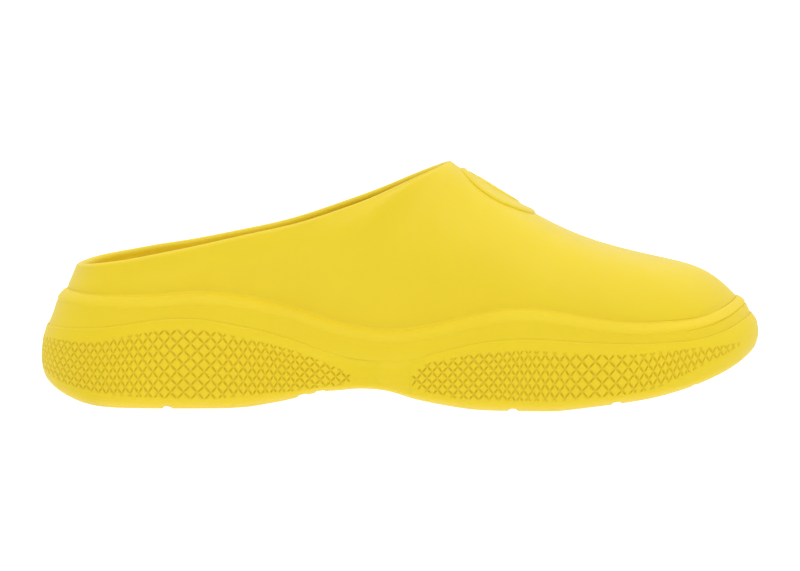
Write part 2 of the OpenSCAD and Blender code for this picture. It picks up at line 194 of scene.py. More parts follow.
def stretch(z):
    """Heights above the toe box follow the height of the throat."""
    return z + (THROAT_TOP - PATTERN_THROAT) * smooth((z - 58) / (PATTERN_THROAT - 58))


def collar_height(x, side):
    at_throat = smooth((SPINE_START * GRADE - x) / 4)
    return stretch(collar_pattern(x)) - (side > 0) * collar_dip(x) * at_throat


def vamp_height(x):
    return stretch(vamp_pattern(x))


# ------------------------------------------------------------------ the plan outline

HANDLES = np.array(OUTER_HANDLES + INNER_HANDLES[::-1], float)


def spline(p):
    """Points of the closed cubic B-spline that the handles pull into shape."""
    p = np.asarray(p, float)
    k = np.floor(p).astype(int)
    t = (p - k)[..., None]
    n = len(HANDLES)
    a, b, c, d = (HANDLES[(k + j) % n] for j in (-1, 0, 1, 2))
    return (
        (1 - t) ** 3 * a + (3 * t**3 - 6 * t**2 + 4) * b
        + (1 + 3 * t + 3 * t**2 - 3 * t**3) * c + t**3 * d
    ) / 6


_ALL = spline(np.linspace(-STATIONS, STATIONS, 2401))
_LOW = _ALL.min(0)
_SCALE = np.array([LENGTH, WIDTH]) / (_ALL.max(0) - _LOW)


def outline(p):
    d = spline(p)
    return np.stack([(d[..., 0] - _LOW[0]) * _SCALE[0], d[..., 1] * _SCALE[1]], -1)


def inward(p):
    step = unit(outline(np.asarray(p) + 0.01) - outline(np.asarray(p) - 0.01))
    return np.stack([-step[..., 1], step[..., 0]], -1)


def inside(p, inset):
    return outline(p) + np.asarray(inset)[..., None] * inward(p)


_P = np.linspace(-STATIONS, STATIONS, 4801)
_ARC = np.concatenate([[0], np.cumsum(np.linalg.norm(np.diff(outline(_P), axis=0), axis=1))])
_ARC -= np.interp(0, _P, _ARC)


def arc_of(p):
    return np.interp(p, _P, _ARC)


def station_at(arc):
    return np.interp(arc, _ARC, _P)


def even_stations(start, end, pitch):
    """Stations at an even spacing in millimetres round the outline. Past 12 they run on
    along the inner side."""
    first = arc_of(start)
    last = arc_of(end) if end <= STATIONS else 2 * _ARC[-1] - arc_of(2 * STATIONS - end)
    if end > STATIONS:
        last = _ARC[-1] + (arc_of(end - 2 * STATIONS) - _ARC[0])
    count = 2 * int(round((last - first) / pitch / 2))
    arc = np.linspace(first, last, count + 1)
    wrapped = np.where(arc > _ARC[-1], arc - (_ARC[-1] - _ARC[0]), arc)
    return station_at(wrapped)


# ------------------------------------------------------------------ meshes


def new_object(name, points, faces, material, groove_shade=None):
    """A mesh object in the frame's metres from points in millimetres from the heel. Points
    that coincide are joined, and faces that this folds flat are dropped."""
    places = np.asarray(points, float).reshape(-1, 3)
    keys, index = np.unique(np.round(places, 4), axis=0, return_inverse=True)
    index = index.ravel()
    metres = (keys + np.array([HEEL_BACK, 0, 0])) * MM
    clean = []
    for face in faces:
        corners = [int(index[c]) for c in face]
        kept = [c for j, c in enumerate(corners) if c != corners[j - 1]]
        if len(kept) > 2 and len(set(kept)) == len(kept):
            clean.append(kept)
    mesh = bpy.data.meshes.new(name)
    mesh.from_pydata(metres.tolist(), [], clean)
    mesh.update()
    # The per-point groove depths go to the material, which uses them to paint shade into the grooves.
    if groove_shade is not None:
        values = np.zeros(len(keys), np.float32)
        values[index] = np.asarray(groove_shade, np.float32).ravel()
        layer = mesh.attributes.new("groove_shade", "FLOAT", "POINT")
        layer.data.foreach_set("value", values)
    mesh.polygons.foreach_set("use_smooth", [True] * len(mesh.polygons))
    mesh.set_sharp_from_angle(angle=math.radians(55))
    mesh.materials.append(material)
    thing = bpy.data.objects.new(name, mesh)
    bpy.context.scene.collection.objects.link(thing)
    return thing


def grid_faces(rows, columns, start=0, closed=False, turned=False):
    """Quads of a grid of points stored row by row."""
    r = np.arange(rows - 1)[:, None]
    c = np.arange(columns if closed else columns - 1)[None, :]
    d = (c + 1) % columns
    a, b = start + r * columns + c, start + (r + 1) * columns + c
    e, f = start + (r + 1) * columns + d, start + r * columns + d
    quads = np.stack([a, f, e, b] if not turned else [a, b, e, f], -1)
    return quads.reshape(-1, 4).tolist()


def rung_faces(row, across, start):
    """Quads of a floor. row holds the indices of its edge, from one end of the open edge to
    the other, and the inner points of rung k follow from start, across of them to a rung."""
    n = len(row)
    faces = []
    half = n // 2
    lines = []
    for k in range(half):
        middle = list(range(start + k * across, start + (k + 1) * across))
        lines.append([row[k]] + middle + [row[n - 1 - k]])
    tip = row[half] if n % 2 else None
    for k in range(half - 1):
        for a, b, c, d in zip(lines[k], lines[k + 1], lines[k + 1][1:], lines[k][1:]):
            faces.append((a, b, c, d))
    if tip is not None:
        for a, b in zip(lines[-1], lines[-1][1:]):
            faces.append((a, tip, b))
    return faces


def rung_points(edge, across):
    """The inner points of a floor's rungs, straight between the two sides of its edge."""
    n = len(edge)
    half = n // 2
    share = (np.arange(1, across + 1) / (across + 1))[None, :, None]
    a, b = edge[:half, None, :], edge[::-1][:half, None, :]
    return a + (b - a) * share


# ------------------------------------------------------------------ the sole's surfaces

WALL_ROWS = [(10.6, 0), (4.4, 0.065), (1.3, 0.165), (0, 0.45), (0.25, 0.75), (1, 1)]
WALL_RUN = [0, 0.14, 0.25, 0.5, 0.77, 1]
wall_near = Line([(r, row[0] * (r < 0.4)) for r, row in zip(WALL_RUN, WALL_ROWS)], 0.035)
wall_far = Line([(r, row[0] * (r > 0.6)) for r, row in zip(WALL_RUN, WALL_ROWS)], 0.035)
wall_share = Line(list(zip(WALL_RUN, [row[1] for row in WALL_ROWS])), 0.035)
HEEL_END, FOREFOOT_START, SEAM = 5.5, 5.84, 0.0006


def wall_height(x):
    return outsole_top(x) - ground(x)


def wall_inset(run, x):
    return wall_near(run) + wall_far(run) * top_inset(x)


def wall_surface(p, run, dent=0.0, depth=0.0, gap=0.0):
    """Points of the side wall. run goes from 0 at the tread to 1 at the outsole's top edge,
    dent pushes in, and depth 1 with a gap gives the face behind the outsole."""
    x = outline(p)[..., 0]
    reach = outsole_share(x) * depth
    gap = gap * (np.asarray(depth) > 0)
    plan = inside(p, wall_inset(run, x) + dent + reach * OUTSOLE_SIDE + gap)
    x = plan[..., 0]
    rise = smooth(1 - run / 0.5) * (reach * OUTSOLE_FLOOR + gap)
    z = ground(x) + wall_height(x) * wall_share(run) + rise
    return np.concatenate([plan, z[..., None]], -1)


# The textured zones of the side wall, as shares of the wall's height.
heel_zone_top = height_line([
    (0, 0.85), (20, 0.84), (35, 0.88), (66, 0.9), (80, 0.885), (94, 0.865), (105, 0.84),
    (113, 0.79), (120, 0.68), (124, 0.57), (127.5, 0.42),
], 2.0)
heel_zone_low = height_line([
    (0, 0.28), (20, 0.21), (35, 0.165), (66, 0.125), (82, 0.16), (94, 0.175), (105, 0.15),
    (113, 0.14), (120, 0.19), (124, 0.25), (127.5, 0.4),
], 2.0)
fore_zone_top = height_line([
    (148.5, 0.44), (150, 0.68), (152.5, 0.8), (157, 0.87), (165, 0.87), (196, 0.86),
    (214, 0.855), (230, 0.84), (243, 0.85), (250, 0.87), (262, 0.86), (270, 0.79),
    (279.6, 0.64), (283, 0.57),
], 1.0)
fore_zone_low = height_line([
    (148.5, 0.42), (150, 0.34), (152.5, 0.28), (157, 0.24), (165, 0.19), (196, 0.17),
    (230, 0.175), (242, 0.19), (250, 0.24), (262, 0.4), (270, 0.48), (279.6, 0.51), (283, 0.55),
], 1.0)

GROOVE_DEPTH = 0.7
GROOVE_HALF = 0.52
CROSSING = 0.8
PITCH, SWING = 4.16, 0.25
heel_rows = height_line([(0, 4.4), (15, 4.6), (32, 5.5), (90, 5.6), (101, 4.5), (140, 4.45)])
fore_rows = height_line([
    (140, 4.5), (184, 4.6), (195, 5.7), (225, 5.9), (262, 5.9), (276, 5.2), (290, 4.8),
])


def warp(s, middle, period):
    """The count of grooves along the arc s. Their pitch is widest at middle, swings with the
    period, and is even again beyond three quarters of it."""
    turn = 2 * math.pi / period
    away = s - middle
    held = np.clip(away, -0.75 * period, 0.75 * period)
    count = (away - SWING * np.sin(turn * held) / turn) / PITCH
    rate = (1 - SWING * np.cos(turn * held)) / PITCH
    return count, rate


def diamonds(along, rows, row_rate):
    """Depth of the crossed grooves, shallower where two of them meet."""
    count, rate = along
    spread = np.hypot(rate, row_rate)
    away = []
    for phase in (count + rows, count - rows):
        shifted = phase + 0.5
        away.append(np.abs(shifted - np.round(shifted)) / spread)
    cuts = [1 - smooth(a / GROOVE_HALF) for a in away]
    ease = [1 - 0.5 * np.exp(-((a / CROSSING) ** 2)) for a in away]
    return np.maximum(cuts[0] * ease[1], cuts[1] * ease[0])


def texture(p, run, top, low, row_pitch, middle_x, period):
    """Depth of the side wall's texture at stations p and heights run, from 0 to 1."""
    lateral = np.abs(p)
    x = outline(lateral)[..., 0]
    height = wall_height(x)
    share = wall_share(run)
    margin = np.minimum(top(x) - share, share - low(x)) * height
    middle_arc = np.interp(middle_x * GRADE, outline(_P[_P >= 0])[:, 0], _ARC[_P >= 0])
    along = warp(arc_of(lateral), middle_arc, period)
    rows = (share - (top(x) + low(x)) / 2) * height / row_pitch(x)
    return diamonds(along, rows, 1 / row_pitch(x)) * smooth(margin / 0.9 + 0.3)


# ------------------------------------------------------------------ tread

# Wavy grooves, as places along the sole. Those of the second lists run out at the side.
HEEL_GROOVES = [28, 40, 63, 75, 87, 97, 120.5, 129]
HEEL_NOTCHES = [51.9, 106, 113]
FORE_GROOVES = [152, 160, 169, 179, 201, 212, 222, 241.5, 252.5]
FORE_NOTCHES = [189.8, 231, 262.8, 271.6, 279.5]
WAIST_NOTCHES = [136.5, 144.4]
TREAD_EDGE = 11.0


def from_side(x, y):
    """How far a plan place lies inside the tread's edge."""
    outer, inner = outline(_P[_P >= 0]), outline(_P[_P <= 0][::-1])
    low = np.interp(x, outer[:, 0], outer[:, 1])
    high = np.interp(x, inner[:, 0], inner[:, 1])
    return np.minimum(y - low, high - y) - TREAD_EDGE


def tread_depth(x, y, grooves, notches, swing=3.0, deep=0.9):
    """Depth of the wavy grooves that cross the tread, at a plan place."""
    to_side = from_side(x, y)
    wave = swing * np.cos(4 * math.pi * y / WIDTH) * smooth(to_side / 12)
    depth = np.zeros_like(x)
    for centre in grooves + notches:
        half = 1.9 if centre < 245 else 1.2
        away = np.abs(x - centre * GRADE - wave)
        cut = 1 - smooth((away - half * 0.45) / (half * 0.75))
        depth = np.maximum(depth, cut if centre in notches else cut * smooth(to_side / 5))
    return depth * deep


# ------------------------------------------------------------------ outsoles


def outsole_piece(name, p, rows, tread, dent, material):
    """A cup: textured wall, tread, and the plain face that is bonded to the midsole. p runs
    from one open end round to the other."""
    n = len(p)
    run = np.linspace(0, 1, rows) ** 0.92
    pp, rr = np.broadcast_to(p, (rows, n)), np.broadcast_to(run[:, None], (rows, n))
    shade = dent(pp, rr)
    wall = wall_surface(pp, rr, shade * GROOVE_DEPTH)
    notch = tread_depth(wall[..., 0], wall[..., 1], *tread) * (1 - smooth(rr / 0.12))
    wall[..., 2] += notch
    x = outline(p)[:, 0]
    stand, depth = proud(x), OUTSOLE_SIDE * outsole_share(x)
    lip = []
    for inset, up in ((0.2, 0.2), (0.35, 0.34), (0.5, 0.44), (0.56, 0.05), (depth, 0.0)):
        plan = inside(p, wall_inset(1.0, x) + inset)
        z = outsole_top(plan[:, 0]) + up * stand
        lip.append(np.concatenate([plan, z[:, None]], -1))
    backs = [wall_surface(p, np.full(n, r), depth=1.0) for r in (1.0, 0.5, 0.25, 0.14, 0.0)]
    skin = np.concatenate([wall, np.array(lip), np.array(backs)])
    total = len(skin)
    across = 44
    tread_points = rung_points(wall[0], across)
    tx, ty = tread_points[..., 0], tread_points[..., 1]
    cut = tread_depth(tx, ty, *tread)
    tread_points[..., 2] = ground(tx) + cut
    seat_points = rung_points(backs[-1], across)
    seat_points[..., 2] = ground(seat_points[..., 0]) + outsole_share(x)[: n // 2, None] * OUTSOLE_FLOOR
    points = np.concatenate([a.reshape(-1, 3) for a in (skin, tread_points, seat_points)])
    faces = grid_faces(total, n)
    tread_start = total * n
    seat_start = tread_start + (n // 2) * across
    faces += [f[::-1] for f in rung_faces(list(range(n)), across, tread_start)]
    last = (total - 1) * n
    faces += rung_faces(list(range(last, last + n)), across, seat_start)
    for side, turned in ((0, True), (n - 1, False)):
        loop = [r * n + side for r in range(total)]
        faces.append(loop if turned else loop[::-1])
    tread_end = [0, *range(tread_start, tread_start + across), n - 1]
    seat_end = [last, *range(seat_start, seat_start + across), last + n - 1]
    for a, b, c, d in zip(tread_end[1:], tread_end, seat_end, seat_end[1:]):
        faces.append((a, b, c, d))
    plain = (n // 2) * across
    # Depths of the texture grooves and tread notches, for the painted shade in them; the plain faces get
    # none.
    groove_shade = np.concatenate([
        np.maximum(shade, notch).ravel(), np.zeros((total - rows) * n), cut.ravel(), np.zeros(plain),
    ])
    return new_object(name, points, faces, material, groove_shade)


# ------------------------------------------------------------------ midsole


def is_bare(p):
    """Whether the midsole shows at the waist, between the two outsoles."""
    return (np.abs(p) > HEEL_END + SEAM / 2) & (np.abs(p) < FOREFOOT_START - SEAM / 2)


BEAD_TOP, FILLET = 0.8, 1.4


def midsole_piece(material):
    p = even_stations(-STATIONS, STATIONS, 0.8)[:-1]
    ends = np.array([HEEL_END, HEEL_END + SEAM, FOREFOOT_START - SEAM, FOREFOOT_START])
    p = np.sort(np.concatenate([p, ends, -ends]))
    n = len(p)
    x = outline(p)[:, 0]
    covered = np.where(is_bare(p), 0.0, 1.0)
    rows = [
        wall_surface(p, np.full(n, run), depth=covered, gap=GLUE) for run in np.linspace(0, 1, 26)
    ]
    stand = proud(x)

    def ring(inset, z_of):
        plan = inside(p, inset)
        return np.concatenate([plan, z_of(plan[:, 0])[:, None]], -1)

    low_inset = wall_inset(1.0, x) + 0.6 * stand
    for t in np.linspace(0, 1, 23) ** 0.75:
        hollow = 0.35 * math.sin(math.pi * t) * (1 - 0.3 * t) * (1 - toe_crease(x))
        crease = (0.12 + 0.4 * toe_crease(x)) * math.exp(-(((t - 0.9) / 0.08) ** 2)) * (t < 1)
        inset = low_inset + (bead_inset(x) - low_inset) * t + hollow + crease
        rows.append(ring(
            inset, lambda v, t=t: (1 - t) * (outsole_top(v) + 0.1 * stand) + t * bead(v)
        ))
    depth, tall = upper_inset(x) - bead_inset(x), bead_height(x)
    for a in np.linspace(0.06, math.pi / 2, 22):
        inset = bead_inset(x) + BEAD_TOP * depth * (1 - np.cos(a) ** (2 / bead_round(x)))
        up = BEAD_TOP * tall * np.sin(a) ** (2 / bead_round(x))
        rows.append(ring(inset, lambda v, up=up: bead(v) + up))
    lean = np.tan(np.radians(foot_lean(np.abs(p))))
    edge = bead_inset(x) + BEAD_TOP * depth
    foot = upper_inset(x) + FILLET * lean + 0.08
    for a in np.linspace(0.15, math.pi / 2, 10):
        climb = BEAD_TOP * tall + ((1 - BEAD_TOP) * tall + FILLET) * (1 - math.cos(a))
        inset = edge + (foot - edge) * math.sin(a)
        rows.append(ring(inset, lambda v, c=climb: bead(v) + c))
    for t in np.linspace(0.2, 1, 5):
        inset = foot + (cavity_inset(x) - foot) * t
        up = tall + FILLET * (1 - t) ** 3
        rows.append(ring(inset, lambda v, up=up: bead(v) + up))
    for t in np.linspace(0.1, 1, 8):
        rows.append(ring(
            cavity_inset(x),
            lambda v, t=t: (1 - t) * (bead(v) + tall) + t * floor_height(v),
        ))
    skin = np.array(rows)
    total = len(skin)
    across = 40
    points, tags = [skin.reshape(-1, 3)], [np.zeros(total * n)]
    faces = grid_faces(total, n, closed=True)
    start = total * n
    for row, turned in ((0, True), (total - 1, False)):
        ids = np.arange(row * n, (row + 1) * n)
        toe, ids = int(ids[0]), [int(i) for i in ids[1:]]
        inner = rung_points(skin[row][1:], across)
        ix, iy = inner[..., 0], inner[..., 1]
        dent = np.zeros_like(ix)
        if turned:
            hidden = covered[1:][: len(inner), None]
            dent = tread_depth(ix, iy, [], WAIST_NOTCHES, swing=0.0) * (1 - hidden)
            thick = outsole_share(x[1:])[: len(inner), None] * OUTSOLE_FLOOR + GLUE
            inner[..., 2] = ground(ix) + dent + hidden * thick
        else:
            inner[..., 2] = floor_height(ix)
        # The waist notches' depths go to the material as painted shade in them.
        tags.append(dent.ravel())
        points.append(inner.reshape(-1, 3))
        caps = rung_faces(ids, across, start)
        faces += [f[::-1] for f in caps] if turned else caps
        line = [ids[0]] + list(range(start, start + across)) + [ids[-1]]
        for a, b in zip(line, line[1:]):
            faces.append((b, a, toe) if turned else (a, b, toe))
        start += inner.shape[0] * across
    return new_object("midsole_skin", np.concatenate(points), faces, material, np.concatenate(tags))


# ------------------------------------------------------------------ upper

COLLAR_MIDDLE, COLLAR_REACH, COLLAR_HALF, COLLAR_ROUND = 91.3, 74.2, 35.5, 2.1
SPINE_START, SPINE_RUN, TOE_SHIFT = 165.5, 80.5, 5.0
EDGE_PULL = 0.42


def throat_curve(q, side, inset):
    w = q / THROAT
    turn = math.pi * w * (0.4 + 0.6 * w)

    def blunt(v):
        return np.sign(v) * np.abs(v) ** (2 / COLLAR_ROUND)

    x = (COLLAR_MIDDLE - (COLLAR_REACH - inset) * blunt(np.cos(turn))) * GRADE
    return np.stack([x, side * (COLLAR_HALF - inset) * blunt(np.abs(np.sin(turn)))], -1)


def collar_point(q, side, inset=0.0):
    heel = inside(q * -side, collar_inset(outline(q)[..., 0]) + inset)
    share = smooth((q - 2.2) / 1.8)[..., None]
    return heel * (1 - share) + throat_curve(q, side, inset) * share


def rim_heading(q, side):
    a = collar_point(np.maximum(q - 0.02, 0), side)
    b = collar_point(np.minimum(q + 0.02, THROAT), side)
    run = unit(b - a)
    run = np.where((q <= 0.004)[..., None], np.array([0.0, side]), run)
    return np.where((q >= THROAT - 0.004)[..., None], np.array([0.0, -side]), run)


def spine_share(q):
    return (q - THROAT) / (STATIONS - THROAT)


def spine_x(q):
    return (SPINE_START + SPINE_RUN * np.sin(math.pi / 2 * np.clip(spine_share(q), 0, 1))) * GRADE


def vamp_slope(x):
    return vamp_height(x + 0.5) - vamp_height(x - 0.5)


def edge_frame(q, side):
    """The edge of the upper's outer face, the way the face looks there, and the way the edge
    itself looks: along the collar to the throat, then down the spine of the vamp."""
    qc = np.minimum(q, THROAT)
    lean = np.radians(rim_lean(qc))
    run = rim_heading(qc, side)
    out = side * np.stack([-run[..., 1], run[..., 0]], -1)
    plan = collar_point(qc, side)
    drop = rim_crown(qc) * np.cos(lean)
    rim = np.concatenate([plan, (collar_height(plan[..., 0], side) - drop)[..., None]], -1)
    rim_face = np.concatenate([out * np.cos(lean)[..., None], np.sin(lean)[..., None]], -1)
    rim_way = np.concatenate([-out * np.sin(lean)[..., None], np.cos(lean)[..., None]], -1)
    run3 = np.concatenate([run, np.zeros_like(run[..., :1])], -1)
    turn = (math.pi / 2 * smooth((qc - 3.2) / 2.8))[..., None]
    rim_into = unit(np.cos(turn) * rim_way + np.sin(turn) * run3)

    x = spine_x(q)
    share = np.clip(spine_share(q), 0, 1)
    slope = vamp_slope(x)
    fall = np.arctan(slope)
    throat_drop = float(rim_crown(THROAT) * np.cos(np.radians(rim_lean(THROAT))))
    z = vamp_height(x) - throat_drop * (1 - smooth(4 * share))
    spine = np.stack([x, TOE_SHIFT * share, z], -1)
    spine_face = np.stack([-np.sin(fall), np.zeros_like(x), np.cos(fall)], -1)
    bend = math.pi / 2 * share**4.5
    spine_into = unit(np.stack([-np.sin(bend), -side * np.cos(bend), -slope * np.sin(bend)], -1))

    on_rim = (q <= THROAT)[..., None]
    return (
        np.where(on_rim, rim, spine),
        np.where(on_rim, rim_face, spine_face),
        rim_way,
        np.where(on_rim, rim_into, spine_into),
    )


def profile(q, side, depth):
    """The four Bezier points of the upper's profile at stations q, for its outer (depth 0) or
    inner (depth 1) face."""
    q = np.asarray(q, float)
    p = q * -side
    inset = (cavity_inset if depth else upper_inset)(outline(p)[..., 0])
    plan = inside(p, inset)
    foot = np.concatenate([plan, (bead(plan[..., 0]) + bead_height(plan[..., 0]) - 0.15)[..., None]], -1)
    lean = np.radians((cavity_lean if depth else foot_lean)(q))[..., None]
    into_shoe = np.concatenate([inward(p), np.zeros_like(plan[..., :1])], -1)
    up = into_shoe * np.sin(lean) + np.array([0, 0, 1.0]) * np.cos(lean)
    edge, face, _, into = edge_frame(q, side)
    edge = edge - face * (WALL * depth)
    reach = np.linalg.norm(edge - foot, axis=-1, keepdims=True)
    pull = foot_pull(q)[..., None]
    slack = np.abs(edge[..., 1:2]) * (smooth(q - THROAT + 1) * (q < THROAT))[..., None]
    return foot, foot + pull * reach * up, edge - (EDGE_PULL * reach - slack) * into, edge


def on_profile(c, t):
    t = np.asarray(t)[..., None]
    return (1 - t) ** 3 * c[0] + 3 * t * (1 - t) ** 2 * c[1] + 3 * t**2 * (1 - t) * c[2] + t**3 * c[3]


def both_sides(count_rim, count_spine):
    """Stations round the shoe for the upper, as (station, side) arrays in ring order."""
    rim = THROAT * np.linspace(0, 1, count_rim + 1)
    spine = THROAT + (STATIONS - THROAT) * np.linspace(0, 1, count_spine + 1)[1:]
    q = np.concatenate([rim, spine])
    return np.concatenate([q, q[-2:0:-1]]), np.concatenate([-np.ones(len(q)), np.ones(len(q) - 2)])


def upper_rows(depth, ts, q, side):
    rows = []
    for t in ts:
        row = np.zeros((len(q), 3))
        for s in (-1, 1):
            on = side == s
            row[on] = on_profile(profile(q[on], s, depth), t)
        rows.append(row)
    return rows


def upper_piece(material):
    count_rim, count_spine = 190, 170
    q, side = both_sides(count_rim, count_spine)
    n = len(q)
    outer = upper_rows(0, np.linspace(0, 1, 50), q, side)
    inner = upper_rows(1, np.linspace(1, 0, 30), q, side)
    toe = count_rim + count_spine
    for row in (outer[-1], inner[0]):
        row[toe] = row[toe - 1]
    rolls = []
    for a in np.linspace(0, math.pi, 15)[1:-1]:
        row = np.zeros((n, 3))
        for s in (-1, 1):
            on = side == s
            edge, face, way, _ = edge_frame(np.minimum(q[on], THROAT), s)
            out = math.copysign(abs(math.cos(a)) ** 0.95, math.cos(a)) * WALL / 2
            crown = rim_crown(np.minimum(q[on], THROAT))[:, None] * math.sin(a) ** 0.95
            row[on] = edge + face * (out - WALL / 2) + way * crown
        rolls.append(row)
    skin = np.array(outer + rolls + inner)
    total = len(skin)
    faces = []
    ring = (q <= THROAT + 1e-9)
    for r in range(total):
        nxt = (r + 1) % total
        is_roll = len(outer) - 1 <= r < len(outer) + len(rolls)
        for c in range(n):
            d = (c + 1) % n
            if is_roll and not (ring[c] and ring[d]):
                continue
            faces.append((r * n + c, r * n + d, nxt * n + d, nxt * n + c))
    return new_object("upper_skin", skin.reshape(-1, 3), faces, material)


# ------------------------------------------------------------------ footbed


def pad_rings(name, rings, top_of, under_of, material, pitch=1.2, across=46):
    """A flat pad from rings given as (inset, height over the floor), closed above and below."""
    p = even_stations(-STATIONS, STATIONS, pitch)[:-1]
    n = len(p)
    x = outline(p)[:, 0]
    skin = []
    for inset, up in rings:
        plan = inside(p, cavity_inset(x) + inset)
        skin.append(np.concatenate([plan, (floor_height(plan[:, 0]) + up)[:, None]], -1))
    skin = np.array(skin)
    total = len(skin)
    points = [skin.reshape(-1, 3)]
    faces = grid_faces(total, n, closed=True)
    start = total * n
    for row, turned, height in ((0, True, under_of), (total - 1, False, top_of)):
        edge = np.roll(skin[row], n // 2, axis=0)[1:]
        ids = [int(i) for i in np.roll(np.arange(row * n, (row + 1) * n), n // 2)]
        toe, ids = ids[0], ids[1:]
        inner = rung_points(edge, across)
        inner[..., 2] = floor_height(inner[..., 0]) + height(inner[..., 0], inner[..., 1])
        points.append(inner.reshape(-1, 3))
        caps = rung_faces(ids, across, start)
        faces += [f[::-1] for f in caps] if turned else caps
        line = [ids[0]] + list(range(start, start + across)) + [ids[-1]]
        for a, b in zip(line, line[1:]):
            faces.append((a, b, toe) if not turned else (b, a, toe))
        start += inner.shape[0] * across
    return new_object(name, np.concatenate(points), faces, material)


EDGE_GAP = 1.0


def footbed_piece(material):
    top = FOOTBED + GLUE
    rings = [
        (EDGE_GAP + 0.9, GLUE), (EDGE_GAP + 0.25, GLUE + 0.3), (EDGE_GAP, GLUE + 1.0),
        (EDGE_GAP, top * 0.5), (EDGE_GAP, top + 0.6), (EDGE_GAP + 0.3, top + 0.75),
        (EDGE_GAP + 2.5, top + 0.55), (EDGE_GAP + 8, top),
    ]
    return pad_rings("footbed_pad", rings, lambda x, y: top, lambda x, y: GLUE, material)


def cover_piece(material):
    low = FOOTBED + 2 * GLUE
    rings = [
        (EDGE_GAP + 8, low), (EDGE_GAP + 2.5, low + 0.55), (EDGE_GAP + 0.3, low + 0.8),
        (EDGE_GAP, low + 1.05), (EDGE_GAP + 0.05, low + 1.5), (EDGE_GAP + 0.5, low + 1.75),
        (EDGE_GAP + 2.5, low + 1.6), (EDGE_GAP + 5, low + 1.2), (EDGE_GAP + 8, low + 1.0),
    ]
    return pad_rings(
        "footbed_knit", rings, lambda x, y: low + 1.0, lambda x, y: low, material, 1.0, 60
    )


# ------------------------------------------------------------------ badge

BADGE_MIDDLE, BADGE_LENGTH, BADGE_WIDTH, BADGE_HEIGHT = 184.5, 30.0, 40.0, 1.0


def instep_point(x, across, off):
    """Points over the instep: along the spine, across it, and off the upper's surface."""
    q = THROAT + (STATIONS - THROAT) * np.arcsin((x - SPINE_START) / SPINE_RUN) / (math.pi / 2)
    points = np.zeros(x.shape + (3,))
    for side in (-1, 1):
        on = (across > 0) if side > 0 else (across <= 0)
        here = profile(q[on], side, 0)
        reach = 3 * EDGE_PULL * np.linalg.norm(here[3] - here[0], axis=-1)
        t = 1 - np.abs(across[on]) / reach
        along = on_profile(profile(q[on] + 0.02, side, 0), t) - on_profile(profile(q[on] - 0.02, side, 0), t)
        over = side * (on_profile(here, t - 0.01) - on_profile(here, t + 0.01))
        points[on] = on_profile(here, t) + off[on][..., None] * unit(np.cross(along, over))
    return points


def leaf_relief(u, v):
    """Height of a simple leaf, midrib and veins over the badge's field, from 0 to 1. u runs
    along the badge and v across it, both in millimetres from its middle."""
    length, width = 9.0, 6.5
    t = np.clip((u + length) / (2 * length), 0, 1)
    half = width * np.sin(math.pi * t**0.8) ** 0.9
    body = smooth((half - np.abs(v)) / 0.9) * ((u > -length) & (u < length))
    rib = 1 - smooth((np.abs(v) - 0.12) / 0.45)
    vein_phase = (u - 0.9 * np.abs(v)) / 2.6
    vein = 1 - smooth(np.abs(vein_phase - np.round(vein_phase)) * 2.6 / 0.42)
    stalk = (1 - smooth((np.abs(v) - 0.35) / 0.4)) * ((u <= -length + 0.8) & (u > -length - 3.2))
    return np.maximum(body * (1 - 0.65 * np.maximum(rib, 0.7 * vein)), 0.8 * stalk)


def badge_piece(material):
    turns, rings = 180, 70
    angle = math.pi + np.linspace(0, 2 * math.pi, turns, endpoint=False)
    shares = np.concatenate([[0.02], np.linspace(0.05, 1, rings)])
    cos, sin = np.cos(angle)[None, :], np.sin(angle)[None, :]
    u = shares[:, None] * BADGE_LENGTH / 2 * cos
    v = shares[:, None] * BADGE_WIDTH / 2 * sin
    edge = (1 - shares[:, None]) * BADGE_WIDTH / 2 + 0 * cos
    field = 0.62 * BADGE_HEIGHT
    rim = np.exp(-(((edge - 1.5) / 0.75) ** 2)) * (BADGE_HEIGHT - field)
    height = (field + rim + 0.55 * leaf_relief(u, v)) * smooth((edge + 0.35) / 0.9)
    height = np.maximum(height, 0.05)
    top = instep_point(BADGE_MIDDLE + u, v, height)[::-1]
    under = instep_point(BADGE_MIDDLE + u, v, np.full_like(u, 0.02))
    skin = np.concatenate([under, top])
    total = len(skin)
    faces = grid_faces(total, turns, closed=True)
    faces.append(list(range(turns))[::-1])
    faces.append(list(range((total - 1) * turns, total * turns)))
    return new_object("vamp_badge_skin", skin.reshape(-1, 3), faces, material)


# ------------------------------------------------------------------ materials

YELLOW = (0.9, 0.683, 0.012, 1)
YELLOW_DEEP = (0.81, 0.585, 0.009, 1)
# Painted shade: the darker colour laid into the grooves in place of the shade that falls in them.
GROOVE_SHADE_YELLOW = (0.74, 0.505, 0.005, 1)


